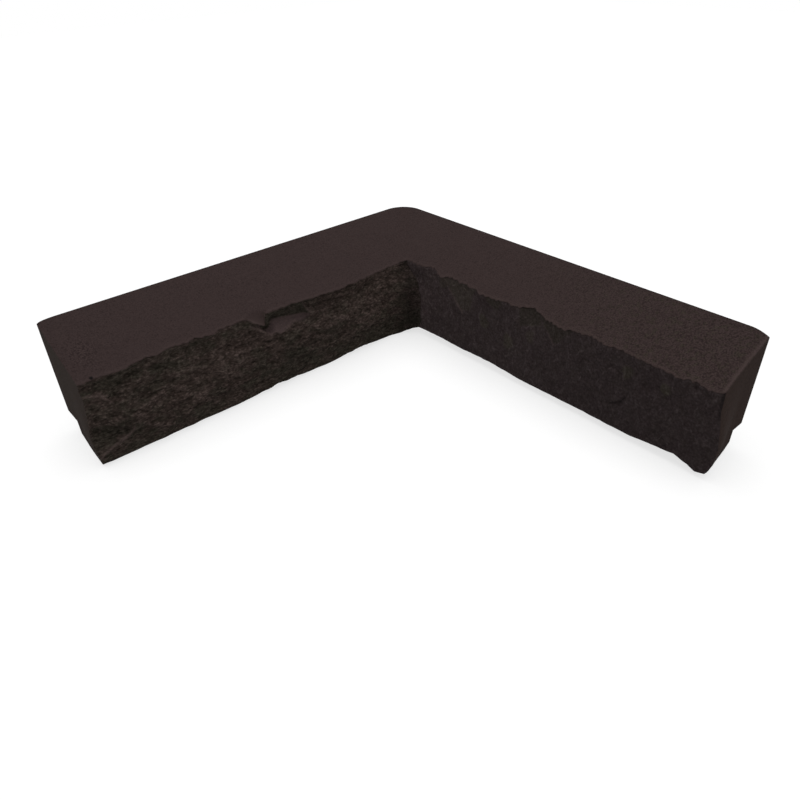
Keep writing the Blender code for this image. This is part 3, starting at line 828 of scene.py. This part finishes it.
def toned(tree, tone, stops, colours):
    """The colours a tone runs through, and where they stand."""
    node = tree.nodes.new("ShaderNodeValToRGB")
    ramp = node.color_ramp
    ramp.elements.remove(ramp.elements[1])
    for number, (at, colour) in enumerate(zip(stops, colours)):
        element = ramp.elements[0] if number == 0 else ramp.elements.new(at)
        element.position = at
        element.color = (*colour, 1.0)
    return fill(tree, node, {"Fac": tone})["Color"]


def mask_value(tree, name):
    """The value of one of the mesh's masks."""
    node = tree.nodes.new("ShaderNodeAttribute")
    node.attribute_name = name
    return node.outputs["Fac"]


def stretched(tree, place, scale):
    """A place with each axis times its own scale."""
    return fill(tree, tree.nodes.new("ShaderNodeMapping"), {"Vector": place, "Scale": scale})[0]


def start_material(name):
    """A matt material; gives it with its nodes, its shader and the place on the object."""
    material = bpy.data.materials.new(name)
    material.use_nodes = True
    tree = material.node_tree
    shader = tree.nodes["Principled BSDF"]
    fill(tree, shader, {"Roughness": 0.9, "Specular IOR Level": 0.08})
    return material, tree, shader, tree.nodes.new("ShaderNodeTexCoord").outputs["Object"]


def finished(tree, shader, colour, height, distance):
    """Gives the shader its colour, and lifts the surface by a height."""
    lifted = fill(tree, tree.nodes.new("ShaderNodeBump"), {"Distance": distance, "Height": height})
    fill(tree, shader, {"Base Color": colour, "Normal": lifted["Normal"]})


def smooth_material(name, tones, per_metre, distance, tone_share, air_holes=()):
    """Smooth cast face: even tone with fine grain and small pits, a greenish tinge in patches, a pale edge of
    wear and painted highlight, with painted light on the notch's floor, and air holes painted as dark spots
    of painted shade at given places. The shade mask holds the strength of the grain."""
    material, tree, shader, place = start_material(name)
    strength = math_node(tree, "MULTIPLY", mask_value(tree, "shade"), tone_share)
    grain = {"Place": place, "Grains per metre": per_metre, "Coarse share": 0.25, "Height share": strength}
    grain |= {"Light share": 0.0, "Pit share": math_node(tree, "MULTIPLY", strength, -0.30)}
    fine = placed(tree, STONE_GRAIN, grain)
    even = {"Place": place, "Detail": 2.0, "Roughness": 0.5, "Patches start": 0.50, "Patches full": 0.68}
    cloud = placed(tree, MOTTLING, even | {"Patches per metre": 60.0})["Value"]
    tone = swung(tree, cloud, 0.5, 0.12, math_node(tree, "ADD", fine["Tone"], 0.5))
    tinge = placed(tree, MOTTLING, even | {"Patches per metre": per_metre * 0.35})["Patches"]
    green = math_node(tree, "MULTIPLY", tinge, mask_value(tree, "olive"))
    colour = blended(tree, green, toned(tree, tone, SMOOTH_STOPS, tones), GREENISH, "MULTIPLY")
    worn = {"Colour": colour, "Pale": PALE_CAST, "Mask": mask_value(tree, "worn")}
    colour = placed(tree, WEAR_HIGHLIGHT_AND_SHADE, worn | {"Unbroken": 1.0, "Shade": 1.0})["Colour"]
    # Air holes: dark spots of painted shade, with no hollow in the surface
    for hole in air_holes:
        node = tree.nodes.new("ShaderNodeVectorMath")
        node.operation = "DISTANCE"
        away = fill(tree, node, {0: place, 1: hole})["Value"]
        colour = blended(tree, ranged(tree, away, *AIR_HOLE_EDGE), colour, AIR_HOLE_SHADE)
    finished(tree, shader, colour, fine["Height"], distance)
    return material


def pitched_material(
    name, warm, olive, stretches, per_metre, distance, proud, mottled, grained, cracked, patched, shelf=()
):
    """Broken face: warm and olive tones from hollow to crest, by shares of the proud mask (painted shade in
    hollows, painted highlight on crests), mottling, grain and cracks, with olive patches, pale crests of wear
    and painted highlight, and painted regional light and shade. A shelf face, where there is one, has its own
    colour, which the tone changes less."""
    material, tree, shader, place = start_material(name)
    place = stretched(tree, place, stretches[0])
    grain = {"Place": place, "Grains per metre": per_metre, "Coarse share": 0.35, "Height share": grained}
    fine = placed(tree, STONE_GRAIN, grain | {"Light share": 0.25, "Pit share": -0.25})
    blotch = {"Place": place, "Detail": 3.0, "Patches per metre": 150.0, "Roughness": 0.60}
    mottle = placed(tree, MOTTLING, blotch | {"Patches start": 0.20, "Patches full": 0.48})
    crack = {"Place": stretched(tree, place, stretches[1]), "Cracks per metre": 90.0, "Width": 0.030}
    cracks = placed(tree, HAIR_CRACKS, crack)["Mask"]
    tone = swung(tree, mottle["Value"], 0.5, mottled, math_node(tree, "ADD", fine["Tone"], 0.5))
    # Crests paler and hollows darker by the proud mask: painted highlight and painted shade
    tone = math_node(tree, "MULTIPLY_ADD", mask_value(tree, "proud"), proud, tone)
    tone = math_node(tree, "MULTIPLY_ADD", cracks, -cracked, tone)
    blotch |= {"Patches per metre": 110.0, "Roughness": 0.65, "Patches start": 0.45, "Patches full": 0.58}
    hues = {"Warm": toned(tree, tone, BROKEN_STOPS, warm), "Olive": toned(tree, tone, BROKEN_STOPS, olive)}
    hues |= {"Patches": placed(tree, MOTTLING, blotch)["Patches"], "Patch share": patched}
    hues |= {"Mask": mask_value(tree, "olive")}
    colour = placed(tree, TWO_HUES, hues)["Colour"]
    if shelf:
        level = swung(tree, tone, 0.5, 0.24, 1.0)
        parts = {number: math_node(tree, "MULTIPLY", level, part) for number, part in enumerate(shelf)}
        face = fill(tree, tree.nodes.new("ShaderNodeCombineColor"), parts)[0]
        colour = blended(tree, mask_value(tree, "shelf"), colour, face)
    worn = {"Colour": colour, "Pale": PALE_BROKEN, "Mask": mask_value(tree, "worn")}
    worn |= {"Unbroken": mottle["Patches"], "Shade": mask_value(tree, "shade")}
    colour = placed(tree, WEAR_HIGHLIGHT_AND_SHADE, worn)["Colour"]
    height = math_node(tree, "MULTIPLY_ADD", cracks, -0.25, fine["Height"])
    finished(tree, shader, colour, height, distance)
    return material


# Colours of the mix: pale where an edge is worn and as painted highlight, the painted shade of an air hole,
# the tinge of the right top, and the shelf's.
# Then the colours that each face runs through from dark to pale, and where on the tone they stand.
PALE_CAST, PALE_BROKEN = (0.066, 0.046, 0.043), (0.080, 0.057, 0.052)
AIR_HOLE_SHADE, GREENISH, SHELF = (0.004, 0.003, 0.003), (0.90, 1.02, 0.86), (0.0500, 0.0345, 0.0335)
SMOOTH_STOPS, BROKEN_STOPS = (0.0, 0.5, 1.0), (0.05, 0.45, 1.0)
SMOOTH_TONES = (0.0190, 0.0121, 0.0115), (0.0362, 0.0239, 0.0229), (0.0470, 0.0318, 0.0303)
LEFT_WARM = (0.0175, 0.0120, 0.0095), (0.0410, 0.0290, 0.0245), (0.1050, 0.0760, 0.0680)
LEFT_OLIVE = (0.0140, 0.0115, 0.0080), (0.0325, 0.0270, 0.0205), (0.0780, 0.0670, 0.0540)
RIGHT_WARM = (0.0170, 0.0108, 0.0112), (0.0345, 0.0248, 0.0250), (0.0780, 0.0600, 0.0620)
RIGHT_OLIVE = (0.0150, 0.0120, 0.0090), (0.0292, 0.0245, 0.0182), (0.0600, 0.0525, 0.0420)
LEFT_END_TONES = (0.0175, 0.0126, 0.0101), (0.0269, 0.0187, 0.0152), (0.0340, 0.0250, 0.0201)
RIGHT_END_TONES = (0.0182, 0.0115, 0.0092), (0.0283, 0.0174, 0.0143), (0.0350, 0.0230, 0.0189)

# The air hole in the left top, painted as a dark spot of shade, and the distances from its middle at which
# its edge starts and is full
AIR_HOLES, AIR_HOLE_EDGE = [OUTER_CORNER - (0.3418, 0.0603, -0.0705)], (0.0017, 0.0009)

# Of each broken face: the shares in its tone and hue, and the stretches of its place and of its cracks
LEFT_SHARES = {"proud": 0.14, "mottled": 0.52, "grained": 1.6, "cracked": 0.35, "patched": 0.75}
RIGHT_SHARES = {"proud": 0.09, "mottled": 0.24, "grained": 0.82, "cracked": -0.30, "patched": 0.12}
LEFT_STRETCHES, RIGHT_STRETCHES = ((0.62, 1.0, 1.15), (0.45, 1.0, 1.6)), ((1.0, 1.0, 0.95), (1.0, 1.0, 0.5))
for material in (
    smooth_material("smooth_cast", SMOOTH_TONES, 900.0, 0.0004, 1.5, AIR_HOLES),
    pitched_material(
        "left_pitched", LEFT_WARM, LEFT_OLIVE, LEFT_STRETCHES, 640.0, 0.0014, **LEFT_SHARES, shelf=SHELF
    ),
    pitched_material(
        "right_pitched", RIGHT_WARM, RIGHT_OLIVE, RIGHT_STRETCHES, 620.0, 0.0009, **RIGHT_SHARES
    ),
    smooth_material("left_end", LEFT_END_TONES, 500.0, 0.0002, 1.0),
    smooth_material("right_end", RIGHT_END_TONES, 500.0, 0.0002, 1.0),
):
    mesh.materials.append(material)
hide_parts("corner_ledge")
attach(ledge, "root")

# Floor, lights and backdrop
# A pale floor and a white surround, lit softly from above with a little from the sides, at a level
# at which the stone shows its own colour.

FLOOR, FLOOR_SIZE = -0.0003, 6.0
FLOOR_LIT, FLOOR_SEEN, FLOOR_GLOW = 0.5, 0.35, 0.70
SURROUND_LIT, SURROUND_SEEN = 0.35, 1.0
LIGHT_SPREAD = 60.0

floor_mesh = bpy.data.meshes.new("floor")
half = FLOOR_SIZE / 2
corners = [(-half, -half, FLOOR), (half, -half, FLOOR), (half, half, FLOOR), (-half, half, FLOOR)]
floor_mesh.from_pydata(corners, [], [(0, 1, 2, 3)])
floor = bpy.data.objects.new("floor", floor_mesh)
scene.collection.objects.link(floor)
floor_material = bpy.data.materials.new("pale_floor")
floor_material.use_nodes = True
tree = floor_material.node_tree
tree.nodes.clear()
lit, seen = (
    fill(tree, tree.nodes.new("ShaderNodeBsdfDiffuse"), {"Color": (grey, grey, grey)})[0]
    for grey in (FLOOR_LIT, FLOOR_SEEN)
)
glow = fill(tree, tree.nodes.new("ShaderNodeEmission"), {"Strength": FLOOR_GLOW})[0]
glowing = fill(tree, tree.nodes.new("ShaderNodeAddShader"), {0: seen, 1: glow})[0]
by_camera = tree.nodes.new("ShaderNodeLightPath").outputs["Is Camera Ray"]
mix = fill(tree, tree.nodes.new("ShaderNodeMixShader"), {0: by_camera, 1: lit, 2: glowing})[0]
fill(tree, tree.nodes.new("ShaderNodeOutputMaterial"), {0: mix})
floor_mesh.materials.append(floor_material)

world = bpy.data.worlds.new("surround")
scene.world = world
world.use_nodes = True
tree = world.node_tree
tree.nodes.clear()
path = tree.nodes.new("ShaderNodeLightPath").outputs
mirrored = math_node(tree, "MAXIMUM", path["Is Camera Ray"], path["Is Glossy Ray"])
either = {0: math_node(tree, "MAXIMUM", mirrored, path["Is Transmission Ray"])}
for number, strength in ((1, SURROUND_LIT), (2, SURROUND_SEEN)):
    white = {"Color": (1.0, 1.0, 1.0), "Strength": strength}
    either[number] = fill(tree, tree.nodes.new("ShaderNodeBackground"), white)[0]
mix = fill(tree, tree.nodes.new("ShaderNodeMixShader"), either)[0]
fill(tree, tree.nodes.new("ShaderNodeOutputWorld"), {0: mix})


def soft_sun(name, toward, strength):
    """A far, broad lamp whose light travels along toward."""
    lamp = bpy.data.objects.new(name, bpy.data.lights.new(name, "SUN"))
    lamp.data.energy = strength
    lamp.data.angle = np.radians(LIGHT_SPREAD)
    lamp.rotation_euler = Vector(toward).to_track_quat("-Z", "Y").to_euler()
    scene.collection.objects.link(lamp)


soft_sun("light_above", (-0.10, -0.14, -1.0), 1.75)
soft_sun("light_left", (1.0, -0.25, -0.55), 0.35)
soft_sun("light_right", (-0.25, 1.0, -0.55), 0.35)

view = scene.view_settings
view.view_transform = "Standard"
